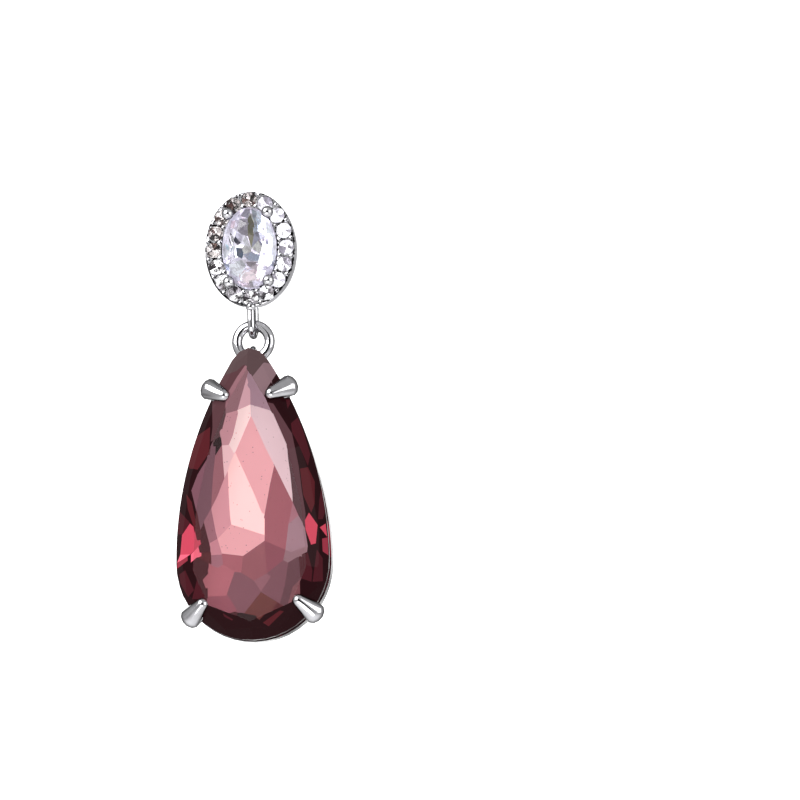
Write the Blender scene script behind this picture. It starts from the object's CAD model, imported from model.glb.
import math
import random

import bmesh
import bpy
from mathutils import Matrix, Quaternion, Vector


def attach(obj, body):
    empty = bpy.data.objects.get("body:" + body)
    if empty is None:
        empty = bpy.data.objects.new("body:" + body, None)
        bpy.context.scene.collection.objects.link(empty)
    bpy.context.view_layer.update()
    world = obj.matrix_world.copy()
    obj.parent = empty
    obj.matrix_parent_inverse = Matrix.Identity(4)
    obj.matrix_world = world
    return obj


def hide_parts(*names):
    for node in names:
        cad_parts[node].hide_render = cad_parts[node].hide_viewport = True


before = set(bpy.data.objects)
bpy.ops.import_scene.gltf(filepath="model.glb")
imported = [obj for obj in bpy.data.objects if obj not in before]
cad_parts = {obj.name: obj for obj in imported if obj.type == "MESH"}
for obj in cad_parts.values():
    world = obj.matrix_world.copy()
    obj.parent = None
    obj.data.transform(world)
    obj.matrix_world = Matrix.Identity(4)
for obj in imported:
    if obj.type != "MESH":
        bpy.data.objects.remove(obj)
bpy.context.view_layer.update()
mm = 0.001
print("frame loaded")


# One shader value. Operators add maths nodes, so formulas read as they are written.
class Value:
    def __init__(self, paint, socket):
        self.paint = paint
        self.socket = socket

    def maths(self, operation, first, second):
        return self.paint.node("ShaderNodeMath", {"operation": operation}, {0: first, 1: second}, 0)

    def __add__(self, other):
        return self.maths("ADD", self, other)

    def __radd__(self, other):
        return self.maths("ADD", other, self)

    def __sub__(self, other):
        return self.maths("SUBTRACT", self, other)

    def __rsub__(self, other):
        return self.maths("SUBTRACT", other, self)

    def __mul__(self, other):
        return self.maths("MULTIPLY", self, other)

    def __rmul__(self, other):
        return self.maths("MULTIPLY", other, self)


# A material and its nodes. What changes over the surface is linked with feed().
class Paint:
    def __init__(self, name, constants):
        self.material = bpy.data.materials.new(name)
        self.material.use_nodes = True
        self.tree = self.material.node_tree
        self.surface = self.tree.nodes["Principled BSDF"]
        for socket, value in constants.items():
            self.surface.inputs[socket].default_value = value

    def join(self, value, socket):
        if isinstance(value, Value):
            self.tree.links.new(value.socket, socket)
        else:
            socket.default_value = value

    def node(self, kind, settings, inputs, output):
        made = self.tree.nodes.new(kind)
        for key, value in settings.items():
            setattr(made, key, value)
        for key, value in inputs.items():
            self.join(value, made.inputs[key])
        return Value(self, made.outputs[output])

    def feed(self, socket, value):
        self.join(value, self.surface.inputs[socket])

    def coordinates(self):
        return self.node("ShaderNodeTexCoord", {}, {}, "Object")

    def parts(self):
        split = {"Vector": self.coordinates()}
        return [self.node("ShaderNodeSeparateXYZ", {}, split, axis) for axis in ("X", "Y", "Z")]

    def noise(self, scale, detail=2.0):
        inputs = {"Vector": self.coordinates(), "Scale": scale, "Detail": detail}
        return self.node("ShaderNodeTexNoise", {}, inputs, "Fac")

    # Takes a value from one span over to another, and holds it at the ends
    def spread(self, value, span, results):
        inputs = {"Value": value, "From Min": span[0], "From Max": span[1]}
        inputs.update({"To Min": results[0], "To Max": results[1]})
        return self.node("ShaderNodeMapRange", {}, inputs, "Result")

    def rise(self, value, span):
        return self.spread(value, span, (0.0, 1.0))

    def fall(self, value, span):
        return self.spread(value, span, (1.0, 0.0))

    def blend(self, factor, first, second):
        inputs = {0: factor, 6: first, 7: second}  # 6 and 7 are the node's two colours
        return self.node("ShaderNodeMix", {"data_type": "RGBA"}, inputs, 2)


def colour(red, green, blue):
    # sRGB numbers from 0 to 255, as read off a picture, to the linear colour that a shader wants
    def linear(part):
        share = part / 255
        return share / 12.92 if share <= 0.04045 else ((share + 0.055) / 1.055) ** 2.4
    return (linear(red), linear(green), linear(blue), 1.0)


# Rhodium-like plating: bright, a little uneven, with faint polishing marks. Where the metal turns away from
# the viewer it mirrors the dark room, so the rim goes dark.
platingLook = {
    "bright": colour(226, 226, 230),
    "dull": colour(198, 196, 200),
    "patchSize": 900.0,
    "patchDetail": 3.0,
    "patchSpan": (0.35, 0.7),
    "patchShare": 0.6,
    "markSize": 9000.0,
    "markShare": 0.4,
    "wearSpan": (0.35, 0.7),
    "markStrength": 0.06,
    "markDepth": 0.02 * mm,
    "smooth": 0.04,
    "worn": 0.15,
    "rim": colour(16, 14, 16),
    "rimShare": 0.92,
    "rimSpan": (0.22, 0.6),
    "clawShade": 0.16,
}

# The stud's plate, in mm: half its width and height, and depths to the front. The cuts between the halo's
# stones are dark, and so are the lines along the plate's back edge and, on the left, its front edge.
plateLook = {
    "across": 3.25,
    "up": 4.15,
    "grime": colour(14, 12, 13),
    "grimeSize": 6000.0,
    "grimeDepth": (1.5, 1.68),
    "grimeFade": 0.05,
    "cutSpan": (0.5, 0.54),
    "insideEdge": (0.95, 0.97),
    "outsideEdge": (1.04, 1.06),
    "backLine": (0.12, 0.18),
    "frontLine": (1.44, 1.5),
    "shadeSpan": (-0.1, 0.3),
    "shadeShare": (0.85, 0.1),
    "frontDepth": (1.75, 1.9),
    "plateRim": 0.1,
    "loopHeight": (-4.6, -4.4),
}


# Adds the plate's dark cuts and lines to its colour. Also gives how dark the rim may go: little on the
# plate's wall, and fully on the loop and on what stands in front of the plate.
def shadePlate(paint, shown):
    look = plateLook
    rimShare = platingLook["rimShare"]
    across, depth, height = [part * (1 / mm) for part in paint.parts()]
    depth = 0.0 - depth  # now grows to the front
    low, high = look["grimeDepth"]
    zone = paint.rise(depth, (low, low + look["grimeFade"]))
    zone = zone * paint.fall(depth, (high - look["grimeFade"], high))
    cuts = paint.rise(paint.noise(look["grimeSize"]), look["cutSpan"])
    shown = paint.blend(cuts * zone, shown, look["grime"])
    wide = across * (1 / look["across"])
    tall = height * (1 / look["up"])
    outward = wide * wide + tall * tall
    edge = paint.rise(outward, look["insideEdge"]) * paint.fall(outward, look["outsideEdge"])
    shaded = paint.spread(wide, look["shadeSpan"], look["shadeShare"])
    lines = paint.fall(depth, look["backLine"]) + paint.rise(depth, look["frontLine"]) * shaded
    shown = paint.blend(edge * lines * rimShare, shown, platingLook["rim"])
    share = paint.spread(depth, look["frontDepth"], (look["plateRim"], rimShare))
    return shown, share + paint.spread(height, look["loopHeight"], (rimShare, 0.0))


# Shade is how dark the metal is even where it faces the viewer, as a share of the rim's darkness.
def makePlating(name, isPlate=False, shade=0.0):
    look = platingLook
    paint = Paint(name, {"Metallic": 1.0})
    patches = paint.noise(look["patchSize"], look["patchDetail"])
    shown = paint.blend(paint.rise(patches, look["patchSpan"]), look["bright"], look["dull"])
    share = look["rimShare"]
    if isPlate:
        shown, share = shadePlate(paint, shown)
    turned = paint.node("ShaderNodeLayerWeight", {}, {}, "Facing")
    rim = paint.spread(turned, look["rimSpan"], (shade, 1.0))
    paint.feed("Base Color", paint.blend(rim * share, shown, look["rim"]))
    marks = paint.noise(look["markSize"])
    wear = look["patchShare"] * patches + look["markShare"] * marks
    paint.feed("Roughness", paint.spread(wear, look["wearSpan"], (look["smooth"], look["worn"])))
    bump = {"Strength": look["markStrength"], "Distance": look["markDepth"], "Height": marks}
    paint.feed("Normal", paint.node("ShaderNodeBump", {}, bump, "Normal"))
    return paint.material


# Clear glass on the front of a stone, with the faint dust and wear that a worn stone has
def makeFront(name, look):
    clear = {"Transmission Weight": 1.0, "IOR": look["index"], "Base Color": colour(255, 255, 255)}
    paint = Paint(name, clear)
    specks = paint.noise(look["dustSize"])
    paint.feed("Roughness", paint.spread(specks, look["dustSpan"], (0.0, look["dust"])))
    return paint.material


# The facets of a stone, each in its own tone. Of that, glow is given off as light that the stone gathers,
# and mirrored is the share that reflects or scatters the lamps. Specks and grain break the tones up.
def makeFacets(name, look):
    paint = Paint(name, look["surface"])
    paint.surface.inputs["Emission Strength"].default_value = look["glow"]
    shown = paint.node("ShaderNodeAttribute", {"attribute_name": "tone"}, {}, "Color")
    if "specks" in look:
        specks = look["specks"]
        cells = {"Vector": paint.coordinates(), "Scale": specks["size"]}
        away = paint.node("ShaderNodeTexVoronoi", {}, cells, "Distance")
        dots = paint.spread(away, specks["span"], (specks["share"], 0.0))
        shown = paint.blend(dots, shown, specks["tone"])
    if "grain" in look:
        grain = look["grain"]
        crackle = paint.spread(paint.noise(grain["size"]), grain["span"], (grain["share"], 0.0))
        shown = paint.blend(crackle, shown, grain["tone"])
    paint.feed("Base Color", paint.blend(look["mirrored"], colour(0, 0, 0), shown))
    paint.feed("Emission Color", shown)
    return paint.material


# Makes the piece. Edges that turn by more than the angle stay sharp, and tilted holds the shading normals
# of facets that lean by a little.
def meshObject(name, bm, materials, smoothAngle=0.0, tilted=None):
    bmesh.ops.recalc_face_normals(bm, faces=bm.faces)
    mesh = bpy.data.meshes.new(name)
    for face in bm.faces:
        face.smooth = True
    for edge in bm.edges:
        edge.smooth = edge.calc_face_angle(0.0) < math.radians(smoothAngle)
    normals = []
    if tilted:
        for face in bm.faces:
            normals += [tilted.get(face, face.normal).copy()] * len(face.loops)
    bm.to_mesh(mesh)
    bm.free()
    if normals:
        mesh.normals_split_custom_set(normals)
    for material in materials:
        mesh.materials.append(material)
    piece = bpy.data.objects.new(name, mesh)
    bpy.context.scene.collection.objects.link(piece)
    return piece


# How the modelled solids are copied: points this close are one, and faces this close to flat are one facet.
copyLook = {"merge": 0.002 * mm, "flatAngle": 0.6}


def solidCopy(node, flatten=True):
    bm = bmesh.new()
    bm.from_mesh(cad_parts[node].data)
    bmesh.ops.remove_doubles(bm, verts=bm.verts, dist=copyLook["merge"])
    if flatten:
        flat = math.radians(copyLook["flatAngle"])
        bmesh.ops.dissolve_limit(bm, angle_limit=flat, verts=bm.verts, edges=bm.edges)
    bmesh.ops.recalc_face_normals(bm, faces=bm.faces)
    return bm


def resize(bm, factor):
    bmesh.ops.scale(bm, vec=[factor] * 3, verts=bm.verts)


# Tones of the big stone, in sRGB numbers.
wineTones = {
    "paleBlush": (255, 218, 217),
    "blush": (255, 198, 197),
    "lightPink": (240, 190, 195),
    "pink": (236, 166, 172),
    "lightRose": (216, 164, 174),
    "greyPink": (212, 180, 186),
    "rose": (202, 142, 152),
    "roseDeep": (218, 148, 158),
    "softRose": (202, 132, 144),
    "roseMauve": (148, 104, 112),
    "dustyMauve": (164, 128, 142),
    "dustyRose": (160, 104, 116),
    "darkMauve": (90, 58, 63),
    "mauveRed": (155, 96, 106),
    "shadowMauve": (122, 80, 92),
    "greyMauve": (150, 114, 124),
    "greyDull": (148, 110, 118),
    "stripMauve": (92, 60, 66),
    "wineRose": (166, 94, 104),
    "wineBright": (156, 88, 98),
    "wineRed": (142, 82, 90),
    "wineDull": (140, 76, 88),
    "dustyWine": (140, 90, 100),
    "dullMauve": (124, 78, 88),
    "duskWine": (98, 60, 68),
    "duskRose": (124, 76, 82),
    "brownRed": (96, 48, 46),
    "greyBrown": (138, 110, 116),
    "brownVeil": (90, 70, 72),
    "nearBlack": (38, 12, 16),
    "darkRed": (74, 26, 34),
    "redWine": (86, 30, 36),
    "wineGlow": (152, 52, 68),
    "softCrimson": (204, 72, 92),
    "crimson": (206, 72, 94),
    "hotPink": (250, 108, 132),
}

# Facets as the viewer sees them through the table: a tone and its corners, in mm to the right of the
# middle and down from the tip, both measured on the table's plane.
deepFacets = [
    ("roseMauve", [
        (-0.12, 1.62), (-0.76, 2.49), (-1.53, 3.74), (-1.64, 5.07), (-0.76, 4.86), (-0.12, 2.78),
    ]),
    ("lightRose", [(-0.12, 2.78), (-0.76, 4.86), (-0.68, 4.82), (0.2, 4.48), (0.21, 3.49)]),
    ("dustyMauve", [
        (0.29, 2.24), (0.07, 2.86), (0.21, 3.49), (0.2, 4.48), (1.41, 4.9), (1.7, 4.98), (1.42, 4.36),
        (1.26, 3.9), (0.89, 3.45),
    ]),
    ("darkMauve", [
        (-1.59, 2.08), (-2.18, 2.91), (-2.58, 4.24), (-2.57, 6.06), (-2.71, 7.06), (-2.38, 6.89),
        (-1.82, 5.9), (-1.6, 5.11), (-1.64, 5.07), (-1.53, 3.74), (-0.76, 2.49), (-0.12, 1.62),
        (-0.25, 1.58), (-0.75, 1.99),
    ]),
    ("paleBlush", [
        (-0.76, 4.86), (0.2, 4.48), (0.21, 5.32), (-0.98, 7.93), (-1.11, 7.93), (-1.43, 7.35),
        (-1.12, 6.64), (-0.72, 5.07),
    ]),
    ("rose", [
        (-1.6, 5.11), (-0.76, 4.86), (-0.72, 5.07), (-1.43, 7.35), (-1.93, 7.38), (-2, 6.73),
        (-1.82, 5.9),
    ]),
    ("greyPink", [
        (0.2, 4.48), (1.65, 4.98), (1.9, 5.23), (2.84, 7.48), (2.9, 8.56), (3.03, 9.55), (3.17, 11.16),
        (3.18, 11.73), (2.56, 10.44), (1.88, 8.97), (1.23, 7.64), (0.31, 5.48), (0.21, 5.32),
    ]),
    ("pink", [
        (0.21, 5.32), (0.31, 5.48), (1.23, 7.64), (1.88, 8.97), (1.52, 10.44), (1.1, 12.54),
        (0.9, 12.42), (0.42, 11.16), (-0.98, 7.93),
    ]),
    ("blush", [
        (-0.98, 7.93), (0.42, 11.16), (0.9, 12.42), (1.1, 12.88), (1.08, 14.06), (-1.36, 13.18),
        (-1.44, 12.54), (-1.5, 11.16), (-1.55, 9.26), (-1.32, 8.56),
    ]),
    ("lightPink", [
        (-1.93, 7.38), (-1.43, 7.35), (-1.11, 7.93), (-0.98, 7.93), (-1.32, 8.56), (-1.55, 9.26),
        (-1.8, 9.76), (-1.87, 8.8),
    ]),
    ("nearBlack", [(-2.04, 6.73), (-1.95, 7.35), (-2.44, 8.1), (-2.38, 7.06)]),
    ("mauveRed", [
        (-2.44, 8.1), (-1.95, 7.38), (-1.87, 8.8), (-1.8, 9.76), (-2.33, 11.05), (-2.8, 11.94),
        (-2.75, 11.16), (-2.63, 9.55),
    ]),
    ("roseDeep", [
        (-1.8, 9.76), (-1.55, 9.26), (-1.5, 11.16), (-1.44, 12.54), (-1.36, 13.18), (-2.38, 14.18),
        (-2.5, 13.71), (-2.8, 11.94), (-2.33, 11.05),
    ]),
    ("shadowMauve", [
        (-2.73, 7.89), (-3.71, 9.39), (-4.19, 10.55), (-3.84, 12.04), (-3.62, 13.37), (-3.36, 12.88),
        (-2.8, 11.94), (-2.75, 11.16), (-2.63, 9.55), (-2.44, 8.1), (-2.56, 7.48),
    ]),
    ("dustyRose", [(-2.8, 11.94), (-2.5, 13.71), (-2.38, 14.18), (-2.89, 14.43), (-3.36, 12.88)]),
    ("pink", [
        (-1.36, 13.18), (1.08, 14.06), (1.07, 14.47), (-0.53, 15.51), (-2.07, 15.26), (-2.38, 14.18),
    ]),
    ("softRose", [(-2.38, 14.18), (-2.07, 15.26), (-2.07, 15.34), (-2.86, 15.34), (-2.89, 14.43)]),
    ("dustyRose", [(-2.86, 15.34), (-2.07, 15.34), (-2, 16.01), (-2.38, 16.3), (-2.83, 16.09)]),
    ("wineRose", [(-2.07, 15.26), (-0.53, 15.51), (-0.67, 16.71), (-2, 16.07)]),
    ("wineRed", [(-0.53, 15.51), (1.07, 14.47), (1.2, 16.84), (0.25, 17.34), (-0.67, 16.71)]),
    ("wineDull", [(1.07, 14.47), (2.6, 15.18), (2.42, 15.92), (1.2, 16.84)]),
    ("wineBright", [
        (1.88, 8.97), (2.56, 10.44), (3.18, 11.73), (3.02, 12.54), (2.84, 13.31), (2.6, 15.18),
        (1.07, 14.47), (1.1, 12.54), (1.52, 10.44),
    ]),
    ("dustyRose", [(3.18, 11.73), (3.6, 12.73), (2.84, 13.31), (3.02, 12.54)]),
    ("greyMauve", [(3.6, 12.73), (4.09, 13.62), (4.27, 14.93), (3.01, 15.37), (2.6, 15.18), (2.84, 13.31)]),
    ("greyDull", [(2.6, 15.18), (3.01, 15.37), (4.27, 14.93), (4.22, 15.34), (2.75, 16.13), (2.42, 15.92)]),
    ("stripMauve", [
        (1.42, 4.36), (1.91, 4.48), (3.25, 6.73), (3.71, 9.14), (3.89, 10.8), (4.15, 12.54),
        (4.09, 13.62), (3.6, 12.73), (3.18, 11.73), (3.17, 11.16), (3.03, 9.55), (2.9, 8.56),
        (2.84, 7.48), (1.9, 5.23), (1.65, 4.98),
    ]),
    ("wineRose", [
        (-3.04, 15.92), (-2.38, 16.3), (-2, 16.07), (-1.17, 16.63), (-1.46, 17.44), (-2, 18.33),
        (-3.13, 18.33),
    ]),
    ("dullMauve", [
        (-1.17, 16.63), (-0.67, 16.71), (0.25, 17.34), (0.75, 18.17), (-0.21, 19.33), (-1, 19.48),
        (-1.17, 19.16), (-1.67, 18.33), (-1.46, 17.44),
    ]),
    ("wineDull", [
        (-3.13, 18.33), (-2, 18.33), (-1.67, 18.33), (-1.17, 19.16), (-1, 19.48), (-2, 19.02),
        (-3.13, 18.69),
    ]),
    ("dustyWine", [(0.25, 17.34), (1.2, 16.84), (1.5, 17.09), (0.75, 18.13)]),
    ("dullMauve", [
        (1.2, 16.84), (2.42, 15.92), (2.79, 16.13), (2.5, 17.86), (1.91, 18.92), (0.75, 18.17),
        (1.5, 17.09),
    ]),
    ("duskWine", [
        (2.79, 16.13), (3.51, 15.76), (3.66, 17.25), (3.08, 17.92), (2.91, 18.5), (2.33, 18.42),
        (2.5, 17.86),
    ]),
    ("duskRose", [(3.08, 17.92), (3.66, 17.34), (3.66, 18.83), (2.91, 18.5)]),
    ("brownRed", [(0.75, 18.17), (1.91, 18.92), (0.66, 20.12), (-0.21, 19.33)]),
]

# Facets at the stone's edge, in the same measures. These lie on the slopes of the crown.
edgeFacets = [
    ("greyBrown", [
        (1.25, 1.49), (1.71, 1.62), (1.82, 2.82), (1.48, 3.32), (1.26, 3.86), (0.89, 3.45), (0.41, 2.49),
    ]),
    ("brownVeil", [
        (0.33, 0.33), (-0.33, 0.5), (-1.08, 1.24), (-1.58, 1.99), (-1.59, 2.24), (-0.75, 1.99),
        (-0.25, 1.58), (0.13, 1.54), (0.33, 2.08), (0.41, 2.45), (1.25, 1.45), (1.75, 1.58),
        (1.25, 1.04),
    ]),
    ("crimson", [
        (-4.32, 12.93), (-4.07, 13.18), (-3.77, 14.68), (-4.32, 15.18), (-5.07, 15.18), (-4.92, 13.76),
    ]),
    ("hotPink", [(-5.33, 15.78), (-5.07, 15.18), (-4.32, 15.18), (-4.82, 15.49)]),
    ("hotPink", [(-4.28, 15.76), (-4.27, 15.18), (-3.77, 14.68), (-3.65, 15.26)]),
    ("wineGlow", [(-5.33, 15.82), (-4.82, 15.49), (-4.53, 15.28), (-4.53, 15.62), (-5.33, 16.2)]),
    ("softCrimson", [
        (4.4, 12.52), (5.01, 13.43), (4.86, 14.76), (4.52, 14.84), (4.13, 13.71), (4.1, 13.04),
    ]),
    ("softCrimson", [(5.17, 13.62), (5.59, 13.37), (5.7, 14.35)]),
    ("wineGlow", [(5.32, 14.45), (5.74, 14.37), (5.76, 15.68), (5.35, 15.37)]),
    ("redWine", [(-2.74, 5.98), (-2.8, 7.31), (-4.29, 8.97), (-4.45, 8.56), (-3.92, 6.73)]),
    ("redWine", [(-4.29, 8.97), (-2.8, 7.31), (-2.85, 7.89), (-3.71, 9.05), (-4.04, 8.97)]),
    ("darkRed", [
        (3.69, 5.56), (4.08, 6.64), (4.55, 8.31), (4.37, 9.14), (3.73, 7.56), (3.25, 6.64), (3.18, 5.98),
    ]),
    ("darkRed", [(2.83, 4.24), (3.13, 4.24), (3.12, 4.57), (2.95, 4.9)]),
    ("redWine", [(3.79, 9.3), (4.37, 9.22), (4.85, 10.3), (4.82, 11.88), (4.56, 12.54), (4, 11.21)]),
    ("darkRed", [(5.16, 11.63), (5.35, 10.63), (5.56, 12.54), (5.39, 13.04), (5.05, 13.04)]),
    ("darkRed", [(-5.09, 12.04), (-4.32, 12.88), (-4.91, 13.71), (-5.21, 13.71), (-5.24, 13.04)]),
    ("redWine", [
        (-4.57, 10.8), (-4.17, 11.38), (-3.86, 12.88), (-3.63, 14.2), (-3.88, 14.2), (-4.07, 13.12),
        (-4.47, 11.88),
    ]),
    ("darkRed", [(-5.17, 16.61), (-4.71, 16.32), (-4.09, 17.78), (-4.54, 18.28), (-5.09, 17.28)]),
    ("darkRed", [(-3.71, 16.53), (-3.13, 18.11), (-3.17, 18.44), (-4.25, 18.44), (-4.09, 17.86)]),
    ("darkRed", [(-3.36, 12.88), (-2.97, 14.54), (-3.11, 15.12), (-3.56, 15.12), (-3.54, 13.71)]),
    ("darkRed", [(3.59, 15.87), (4.26, 15.37), (4.58, 16.7), (4.5, 17.53), (3.66, 17.2)]),
    ("darkRed", [(4.93, 15.2), (5.34, 15.87), (5.33, 17.53), (4.58, 17.53)]),
    ("redWine", [(0.91, 20.33), (2.16, 19.5), (2.45, 19.58), (1.33, 20.62)]),
    ("darkRed", [(-2, 19.52), (-1.25, 20.02), (-1.34, 20.1), (-1.92, 19.77)]),
    ("redWine", [(3.66, 18.86), (4.25, 19.27), (3.83, 19.6)]),
    ("redWine", [(-3.57, 15.37), (-2.9, 15.12), (-2.87, 15.95)]),
]

# The stone is clear glass at the table, with painted facets on its back and at its edge, on the crown's
# slopes. Lengths are in mm. A line of sight is given by how far it goes across and up for each mm of depth,
# when it is straight and when the glass bends it. Facets lean by some degrees, towards a side of the stage
# without a lamp. A spot that no facet covers takes the nearest one within reach.
pearLook = {
    "front": {"index": 1.5, "dust": 0.25, "dustSize": 5200.0, "dustSpan": (0.66, 0.8)},
    "back": {
        "surface": {"Metallic": 0.95, "Roughness": 0.35},
        "glow": 0.84,
        "mirrored": 0.3,
        "specks": {"size": 2600.0, "span": (0.08, 0.11), "share": 0.7, "tone": colour(96, 56, 62)},
    },
    "edge": {
        "surface": {"Roughness": 0.08, "Specular IOR Level": 0.05},
        "glow": 0.6,
        "mirrored": 0.35,
    },
    "girdle": -2.08,
    "tableFacing": -0.98,
    "tableDepth": -3.5,
    "top": -7.23,
    "straight": (-0.1763, 0.1608),
    "bent": (-0.1157, 0.1055),
    "leaning": (5.0, 12.0),
    "turning": (195.0, 250.0),
    "reach": 0.5,
    "tipReach": 0.3,
    "tipEnd": 3.0,
    "seed": 7,
}

cutLook = {"margin": 0.02, "onLine": 1e-5}  # in mm: which faces a line may cut, and which points lie on it


def insidePolygon(corners, x, z):
    inside = False
    for first, second in zip(corners, corners[1:] + corners[:1]):
        if (first[1] > z) != (second[1] > z):
            crossing = first[0] + (z - first[1]) * (second[0] - first[0]) / (second[1] - first[1])
            if x < crossing:
                inside = not inside
    return inside


# Cuts the faces along the outlines of facets that are drawn on the table's plane, and returns the way back
# from a point of the stone to that plane.
def cutFacets(bm, isCut, facets, look, sight):
    slant = Vector((sight[0], 1.0, sight[1]))

    def onTable(point):
        depth = point.y - look["tableDepth"]
        return (point.x - sight[0] * depth, look["top"] - (point.z - sight[1] * depth))

    def isNear(face, low, high):
        seen = [onTable(vert.co) for vert in face.verts]
        spans = [(min(point[i] for point in seen), max(point[i] for point in seen)) for i in (0, 1)]
        return all(spans[i][0] < high[i] and spans[i][1] > low[i] for i in (0, 1))

    done = set()
    for tone, corners in facets:
        for first, second in zip(corners, corners[1:] + corners[:1]):
            if (first, second) in done or (second, first) in done:
                continue
            done.add((first, second))
            start = Vector((first[0], look["tableDepth"], look["top"] - first[1]))
            along = Vector((second[0] - first[0], 0.0, first[1] - second[1]))
            low = [min(a, b) - cutLook["margin"] for a, b in zip(first, second)]
            high = [max(a, b) + cutLook["margin"] for a, b in zip(first, second)]
            near = [face for face in bm.faces if isCut(face) and isNear(face, low, high)]
            parts = set(near)
            for face in near:
                parts |= set(face.edges) | set(face.verts)
            bmesh.ops.bisect_plane(
                bm, geom=list(parts), dist=cutLook["onLine"],
                plane_co=start, plane_no=along.cross(slant).normalized(),
            )
    return onTable


def leaningNormals(facets, look):
    rng = random.Random(look["seed"])

    def leaningNormal():
        lean = math.radians(rng.uniform(*look["leaning"]))
        turn = math.radians(rng.uniform(*look["turning"]))
        return Vector((math.sin(lean) * math.cos(turn), math.cos(lean), math.sin(lean) * math.sin(turn)))

    return [leaningNormal() for facet in facets]


# How far a point of the table's plane lies from the outline of a facet
def distanceTo(corners, x, z):
    point = Vector((x, z))
    distances = []
    for first, second in zip(corners, corners[1:] + corners[:1]):
        start, along = Vector(first), Vector(second) - Vector(first)
        share = min(max((point - start).dot(along) / along.dot(along), 0.0), 1.0)
        distances.append((start + along * share - point).length)
    return min(distances)


# The place in the list of the facet at a point, or of the nearest one within reach, or None
def facetAt(facets, point, reach):
    for place, (tone, corners) in enumerate(facets):
        if insidePolygon(corners, *point):
            return place
    if reach == 0:
        return None
    gaps = [distanceTo(corners, *point) for tone, corners in facets]
    return gaps.index(min(gaps)) if min(gaps) < reach else None


def paintFaces(bm, toneOf):
    layer = bm.loops.layers.float_color.new("tone")
    for face in bm.faces:
        tone = toneOf(face)
        for loop in face.loops:
            loop[layer] = tone


# Through the table the back's facets show, and beside it those on the crown's slopes. Where both lists cover
# a spot, the one made for that part of the stone comes first.
def buildPearStone():
    look = pearLook
    bm = solidCopy("pear_stone")
    resize(bm, 1 / mm)

    def isBack(face):
        return face.calc_center_median().y > look["girdle"]

    def isFront(face):
        return face.calc_center_median().y < look["girdle"]

    inside = deepFacets + edgeFacets
    outside = edgeFacets + deepFacets
    onDeep = cutFacets(bm, isBack, inside, look, look["bent"])
    onEdge = cutFacets(bm, isFront, outside, look, look["straight"])
    leanings = leaningNormals(inside, look)
    tones = {}
    tilted = {}
    for face in bm.faces:
        name = "nearBlack"
        if isBack(face):
            face.material_index = 1
            place = facetAt(inside, onDeep(face.calc_center_median()), look["reach"])
            if place is not None:
                name = inside[place][0]
                tilted[face] = leanings[place]
        elif face.normal.y < look["tableFacing"]:
            face.material_index = 0
        else:
            face.material_index = 2
            centre = onEdge(face.calc_center_median())
            place = facetAt(outside, centre, look["tipReach"] if centre[1] < look["tipEnd"] else 0)
            if place is not None:
                name = outside[place][0]
        tones[face] = colour(*wineTones[name])
    paintFaces(bm, tones.get)
    resize(bm, mm)
    print("big stone has", len(bm.faces), "faces")
    front = makeFront("wine_front", look["front"])
    back = makeFacets("wine_back", look["back"])
    edge = makeFacets("wine_edge", look["edge"])
    piece = meshObject("pear_gem", bm, [front, back, edge], 0.0, tilted)
    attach(piece, "drop")
    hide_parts("pear_stone")


buildPearStone()
print("big stone built")

# Tones and facets of the oval stone, in mm right and down from its middle on its table's plane
ovalTones = {
    "white": (255, 255, 255),
    "snow": (238, 241, 250),
    "lilacWhite": (230, 227, 241),
    "roseWhite": (226, 207, 217),
    "paleBlue": (206, 215, 231),
    "paleCyan": (190, 222, 240),
    "blueWhite": (192, 206, 226),
    "lilac": (206, 199, 217),
    "paleGrey": (208, 208, 217),
    "greyRose": (196, 186, 196),
    "greyLilac": (184, 180, 200),
    "greyBlue": (158, 159, 178),
    "steel": (150, 158, 178),
    "blueGrey": (120, 138, 166),
    "dustGrey": (150, 146, 152),
    "olive": (138, 136, 116),
    "inkRose": (90, 70, 84),
    "ink": (58, 59, 75),
}

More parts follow.
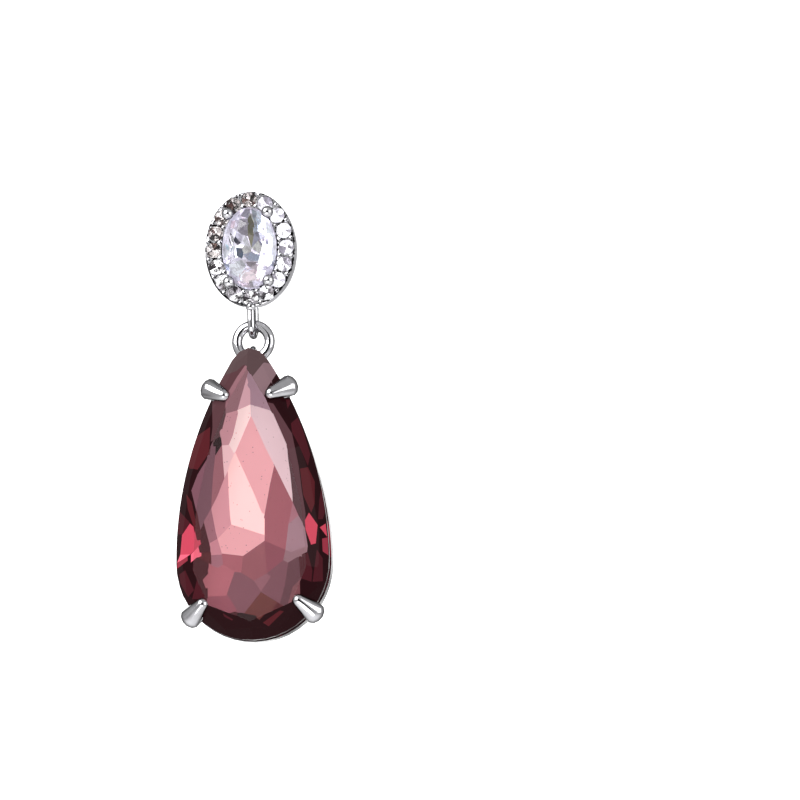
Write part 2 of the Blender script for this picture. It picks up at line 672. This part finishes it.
ovalFacets = [
    ("olive", [(0.03, -1.91), (0.22, -2.26), (0.41, -1.61), (0.47, -0.83), (0.28, 0.09), (0.03, -0.76)]),
    ("white", [(0.07, -1.99), (0.15, -2.38), (0.38, -2.26), (0.45, -1.61), (0.41, -1.61), (0.22, -2.26)]),
    ("blueWhite", [(0.38, -2.15), (0.87, -1.8), (0.99, -1.22), (0.47, -0.95), (0.41, -1.61)]),
    ("greyBlue", [(0.47, -0.95), (0.99, -1.22), (1.18, -0.6), (0.8, -0.45), (0.28, 0.09)]),
    ("ink", [(0.8, -0.45), (1.18, -0.64), (1.26, -0.22), (0.99, -0.02)]),
    ("white", [(0.28, 0.09), (0.8, -0.45), (1.18, 0.09), (0.8, 0.55)]),
    ("steel", [(-0.31, 0.55), (0.28, 0.36), (0.95, 0.71), (0.72, 1.09), (0.03, 1.02)]),
    ("white", [(-0.43, 0.09), (-0.2, -0.14), (0.28, 0.09), (0.28, 0.36), (-0.28, 0.55)]),
    ("paleGrey", [(-0.35, -0.45), (-0.12, -0.91), (0.28, 0.09), (-0.2, -0.14)]),
    ("ink", [(-1.08, -0.99), (-0.85, -0.76), (-0.47, -0.29), (-0.74, -0.14), (-1, -0.45)]),
    ("blueGrey", [(-0.85, 0.01), (-0.35, 0.09), (-0.31, 0.55), (-0.43, 0.86), (-0.81, 0.63)]),
    ("lilac", [(-0.74, -1.91), (0.03, -1.91), (0.03, -0.76), (-0.43, -0.91), (-0.74, -1.22)]),
    ("roseWhite", [(-1.12, -1.91), (-0.74, -1.91), (-0.74, -1.22), (-1.12, -1.37)]),
    ("greyLilac", [(-0.51, -2.8), (0.18, -2.76), (0.18, -2.22), (0.03, -1.91), (-0.51, -2.15)]),
    ("paleBlue", [(0.26, -2.8), (0.95, -2.45), (0.87, -1.8), (0.38, -2.15)]),
    ("paleCyan", [(-1.43, -0.29), (-1.08, -0.14), (-1.04, 0.17), (-1.35, 0.09)]),
    ("snow", [(-1.79, -0.14), (-1.5, -0.45), (-0.85, 0.01), (-1.12, 0.55), (-1.73, 0.86)]),
    ("snow", [
        (1.18, -1.91), (1.72, -0.99), (2.06, 0.09), (1.87, 0.94), (1.26, 1.4), (1.1, 0.17), (1.18, -0.6),
    ]),
    ("lilacWhite", [
        (0.95, -2.45), (1.41, -1.91), (1.18, -1.91), (1.18, -0.64), (0.99, -1.22), (0.87, -1.8),
    ]),
    ("steel", [(-1.73, 1.05), (-1.27, 1.09), (-1.27, 1.63), (-1.58, 1.56)]),
    ("snow", [(-1.27, 1.09), (-0.43, 0.94), (-0.12, 1.4), (-0.58, 2.1), (-1.2, 1.86)]),
    ("greyRose", [(-0.12, 1.09), (0.72, 1.13), (0.68, 1.59), (0.26, 1.52), (-0.05, 1.4)]),
    ("roseWhite", [(-0.51, 1.63), (0.26, 1.52), (0.8, 1.63), (0.72, 2.33), (-0.43, 2.33)]),
    ("dustGrey", [(0.03, 2.33), (0.26, 2.33), (0.38, 2.94), (0.11, 2.94)]),
    ("roseWhite", [(-0.74, 2.33), (0.03, 2.33), (0.11, 2.94), (-0.43, 2.79)]),
    ("lilacWhite", [(0.72, 2.33), (0.34, 2.87), (0.95, 2.87), (1.41, 2.33), (1.26, 1.71), (0.8, 1.63)]),
    ("inkRose", [(0.95, 2.87), (1.41, 2.52), (1.49, 2.67), (1.1, 3.02)]),
    ("steel", [(1.56, 0.94), (1.91, 0.86), (1.87, 1.48), (1.56, 1.4)]),
]

# In the same measures as the big stone's. What no facet covers has the tone called between.
ovalLook = {
    "front": {"index": 1.55, "dust": 0.12, "dustSize": 5200.0, "dustSpan": (0.66, 0.8)},
    "back": {
        "surface": {"Metallic": 1.0, "Roughness": 0.12},
        "glow": 0.36,
        "mirrored": 0.95,
        "grain": {"size": 2600.0, "span": (0.4, 0.52), "share": 0.45, "tone": colour(150, 140, 152)},
    },
    "girdle": -1.79,
    "tableDepth": -2.58,
    "top": 0.0,
    "bent": (-0.111, 0.101),
    "leaning": (4.0, 12.0),
    "turning": (195.0, 250.0),
    "between": "lilacWhite",
    "seed": 11,
}

clearFront = makeFront("clear_front", ovalLook["front"])  # the halo's stones have this front too


def buildOvalStone():
    look = ovalLook
    bm = solidCopy("oval_stone")
    resize(bm, 1 / mm)

    def isBack(face):
        return face.calc_center_median().y > look["girdle"]

    onDeep = cutFacets(bm, isBack, ovalFacets, look, look["bent"])
    leanings = leaningNormals(ovalFacets, look)
    tones = {}
    tilted = {}
    for face in bm.faces:
        name = look["between"]
        face.material_index = 1 if isBack(face) else 0
        place = facetAt(ovalFacets, onDeep(face.calc_center_median()), 0) if isBack(face) else None
        if place is not None:
            name = ovalFacets[place][0]
            tilted[face] = leanings[place]
        tones[face] = colour(*ovalTones[name])
    paintFaces(bm, tones.get)
    resize(bm, mm)
    piece = meshObject("oval_gem", bm, [clearFront, makeFacets("oval_back", look["back"])], 0.0, tilted)
    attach(piece, "stud")
    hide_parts("oval_stone")


buildOvalStone()
print("oval stone built")

# The halo's stones: brownish and dark on the left side, sparkling below, and bright on the right. Faces
# behind the girdle, in mm, are the mirrored back. Each face draws one of the tones of its stone's kind.
haloLook = {
    "girdle": -1.596,
    "surface": {"Metallic": 1.0, "Roughness": 0.12},
    "kinds": [
        {
            "name": "dark_halo",
            "numbers": range(1, 6),
            "glow": 0.75,
            "mirrored": 0.8,
            "grain": {"size": 6500.0, "span": (0.46, 0.49), "share": 0.97, "tone": colour(16, 11, 11)},
            "tones": [
                (255, 250, 250), (226, 218, 218), (66, 44, 42), (120, 96, 92), (245, 240, 240),
                (34, 26, 26),
            ],
        },
        {
            "name": "mixed_halo",
            "numbers": range(6, 11),
            "glow": 1.1,
            "mirrored": 0.95,
            "grain": {"size": 6500.0, "span": (0.42, 0.45), "share": 0.97, "tone": colour(18, 15, 16)},
            "tones": [
                (255, 255, 255), (238, 238, 242), (70, 64, 68), (160, 156, 162), (255, 255, 255),
                (40, 36, 40),
            ],
        },
        {
            "name": "bright_halo",
            "numbers": range(11, 17),
            "glow": 0.95,
            "mirrored": 0.9,
            "grain": {"size": 6500.0, "span": (0.38, 0.41), "share": 0.85, "tone": colour(70, 66, 72)},
            "tones": [
                (255, 255, 255), (252, 252, 254), (240, 240, 246), (206, 204, 212), (128, 124, 134),
            ],
        },
    ],
}


def buildHaloStone(number, back, tones):
    rng = random.Random(number)
    node = f"halo_stone_{number:02d}"
    bm = solidCopy(node)

    def toneOf(face):
        return colour(*rng.choice(tones))

    for face in bm.faces:
        face.material_index = 1 if face.calc_center_median().y > haloLook["girdle"] * mm else 0
    paintFaces(bm, toneOf)
    piece = meshObject(f"halo_gem_{number:02d}", bm, [clearFront, back])
    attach(piece, "stud")
    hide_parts(node)


for kind in haloLook["kinds"]:
    haloBack = makeFacets(kind["name"], {**haloLook, **kind})
    for number in kind["numbers"]:
        buildHaloStone(number, haloBack, kind["tones"])
print("halo stones built")


# The ball prongs of the stud swell a little where their tips were pressed down. Places are in mm.
prongLook = {"across": 1.46, "up": 2.51, "depth": -2.35, "reach": 0.45, "swell": 1.15}


def swellProngs(bm):
    look = prongLook
    for side in (-1, 1):
        for end in (-1, 1):
            centre = Vector((side * look["across"], look["depth"], end * look["up"])) * mm
            ball = [vert for vert in bm.verts if (vert.co - centre).length < look["reach"] * mm]
            space = Matrix.Translation(-centre)
            bmesh.ops.scale(bm, vec=[look["swell"]] * 3, space=space, verts=ball)


# The claws are broadest where they turn over the stone's edge, in front of the rail. Each pair lies along a
# line, which has an angle, a start from where the pair is broad, and a distance from the origin, in mm.
clawLook = {
    "pairs": ((24.0, -2.3, 10.63), (-42.0, 20.7, 16.95)),
    "front": -1.9,
    "reach": 0.8,
    "broader": 1.3,
}


def broadenClaws(bm):
    look = clawLook
    for angle, start, past in look["pairs"]:
        for side in (-1, 1):
            along = Vector((side * math.cos(math.radians(angle)), 0.0, math.sin(math.radians(angle))))
            over = Vector((-along.z, 0.0, along.x))
            centre = (along * start - over * side * past) * mm
            space = Matrix.Rotation(math.atan2(along.z, along.x), 4, "Y") @ Matrix.Translation(-centre)
            broad = []
            for vert in bm.verts:
                place = space @ vert.co
                if vert.co.y < look["front"] * mm and place.x > 0 and abs(place.z) < look["reach"] * mm:
                    broad.append(vert)
            bmesh.ops.scale(bm, vec=(1.0, 1.0, look["broader"]), space=space, verts=broad)


sharpAngle = 42.0  # edges of the metal that turn by more degrees stay sharp


def buildMetal(node, name, body, material):
    bm = solidCopy(node, flatten=False)
    if node == "stud_setting":
        swellProngs(bm)
    elif node == "drop_setting":
        broadenClaws(bm)
    piece = meshObject(name, bm, [material], sharpAngle)
    even = piece.modifiers.new("even_shading", "WEIGHTED_NORMAL")
    even.keep_sharp = True
    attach(piece, body)
    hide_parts(node)


buildMetal("stud_setting", "stud_metal", "stud", makePlating("halo_plating", isPlate=True))
buildMetal("jump_ring", "ring_metal", "link", makePlating("plating"))
buildMetal("drop_setting", "drop_metal", "drop", makePlating("claw_plating", shade=platingLook["clawShade"]))
print("metal built")


# The camera looks from a little to the right and from below. frameAcross is what the picture's width takes
# in at the earring, and right and up are how far the picture's middle lies from the origin.
cameraLook = {
    "azimuth": 10.0,
    "elevation": -9.0,
    "distance": 0.6,
    "frameAcross": 58.05 * mm,
    "roll": 1.0,
    "right": 10.58 * mm,
    "up": -10.7 * mm,
    "sensor": 36.0,  # in mm, as the camera wants it
    "nearest": 0.01,
    "farthest": 10.0,
}

# In metres and watts. The card is a dark strip behind the camera that draws the dark lines which polished
# metal shows down its middle.
stageLook = {
    "paper": (0.9, 0.9, 0.9, 1.0),
    "paperRough": 0.9,
    "wallGlow": 1.0,
    "wallSize": 0.5,
    "wallDistance": 0.6,
    "floorSize": 4.0,
    "floorHeight": -0.35,
    "roomGrey": 0.58,
    "cardTone": colour(24, 24, 26),
    "cardSize": (0.55, 0.9),
    "cardDistance": 0.8,
    "aim": (0.0, 0.0, -0.014),
    "lights": {
        "key_light": {"place": (-0.3, -0.4, 0.3), "size": 0.5, "power": 4.5},
        "fill_light": {"place": (0.5, -0.25, 0.05), "size": 0.4, "power": 1.0},
        "low_light": {"place": (0.0, -0.35, -0.32), "size": 0.3, "power": 0.8},
    },
}


def awayFromSubject():
    turn = math.radians(cameraLook["azimuth"])
    rise = math.radians(cameraLook["elevation"])
    return Vector((math.sin(turn) * math.cos(rise), -math.cos(turn) * math.cos(rise), math.sin(rise)))


def cameraTurn():
    roll = Quaternion((0, 0, 1), -math.radians(cameraLook["roll"]))
    return (-awayFromSubject()).to_track_quat("-Z", "Y") @ roll


def cameraShift():
    right = cameraTurn() @ Vector((1, 0, 0))
    up = cameraTurn() @ Vector((0, 1, 0))
    return right * cameraLook["right"] + up * cameraLook["up"]


def stagePlane(name, size, place, turn, tone, glow=0.0):
    bm = bmesh.new()
    bmesh.ops.create_grid(bm, x_segments=1, y_segments=1, size=0.5)
    bmesh.ops.scale(bm, vec=(size[0], size[1], 1.0), verts=bm.verts)
    bmesh.ops.transform(bm, matrix=Matrix.Translation(place) @ turn.to_matrix().to_4x4(), verts=bm.verts)
    mesh = bpy.data.meshes.new(name)
    bm.to_mesh(mesh)
    bm.free()
    constants = {"Base Color": tone, "Roughness": stageLook["paperRough"]}
    constants.update({"Emission Color": colour(255, 255, 255), "Emission Strength": glow})
    mesh.materials.append(Paint(name, constants).material)
    plane = bpy.data.objects.new(name, mesh)
    bpy.context.scene.collection.objects.link(plane)
    return plane


def softBox(name, place, size, power):
    light = bpy.data.lights.new(name, "AREA")
    light.energy = power
    light.size = size
    lamp = bpy.data.objects.new(name, light)
    lamp.location = place
    aim = Vector(stageLook["aim"]) - Vector(place)
    lamp.rotation_euler = aim.to_track_quat("-Z", "Y").to_euler()
    bpy.context.scene.collection.objects.link(lamp)


def buildStage():
    look = stageLook
    away = awayFromSubject()
    wallPlace = cameraShift() - away * look["wallDistance"]
    stagePlane("backdrop", [look["wallSize"]] * 2, wallPlace, cameraTurn(), look["paper"], look["wallGlow"])
    floorPlace = Vector((0, 0, look["floorHeight"]))
    stagePlane("floor", [look["floorSize"]] * 2, floorPlace, Quaternion(), look["paper"])
    facing = away.to_track_quat("-Z", "Y")
    card = stagePlane("dark_card", look["cardSize"], away * look["cardDistance"], facing, look["cardTone"])
    card.visible_camera = False
    world = bpy.data.worlds.new("room")
    world.use_nodes = True
    background = world.node_tree.nodes["Background"]
    background.inputs["Color"].default_value = colour(255, 255, 255)
    background.inputs["Strength"].default_value = look["roomGrey"]
    bpy.context.scene.world = world
    for name, light in look["lights"].items():
        softBox(name, **light)
    bpy.context.scene.view_settings.view_transform = "Standard"


def buildCamera():
    look = cameraLook
    data = bpy.data.cameras.new("camera")
    data.sensor_width = look["sensor"]
    data.lens = look["sensor"] * look["distance"] / look["frameAcross"]
    data.clip_start = look["nearest"]
    data.clip_end = look["farthest"]
    camera = bpy.data.objects.new("camera", data)
    camera.rotation_mode = "QUATERNION"
    camera.rotation_quaternion = cameraTurn()
    camera.location = awayFromSubject() * look["distance"] + cameraShift()
    bpy.context.scene.collection.objects.link(camera)
    bpy.context.scene.camera = camera


buildStage()
buildCamera()
print("stage and camera made")
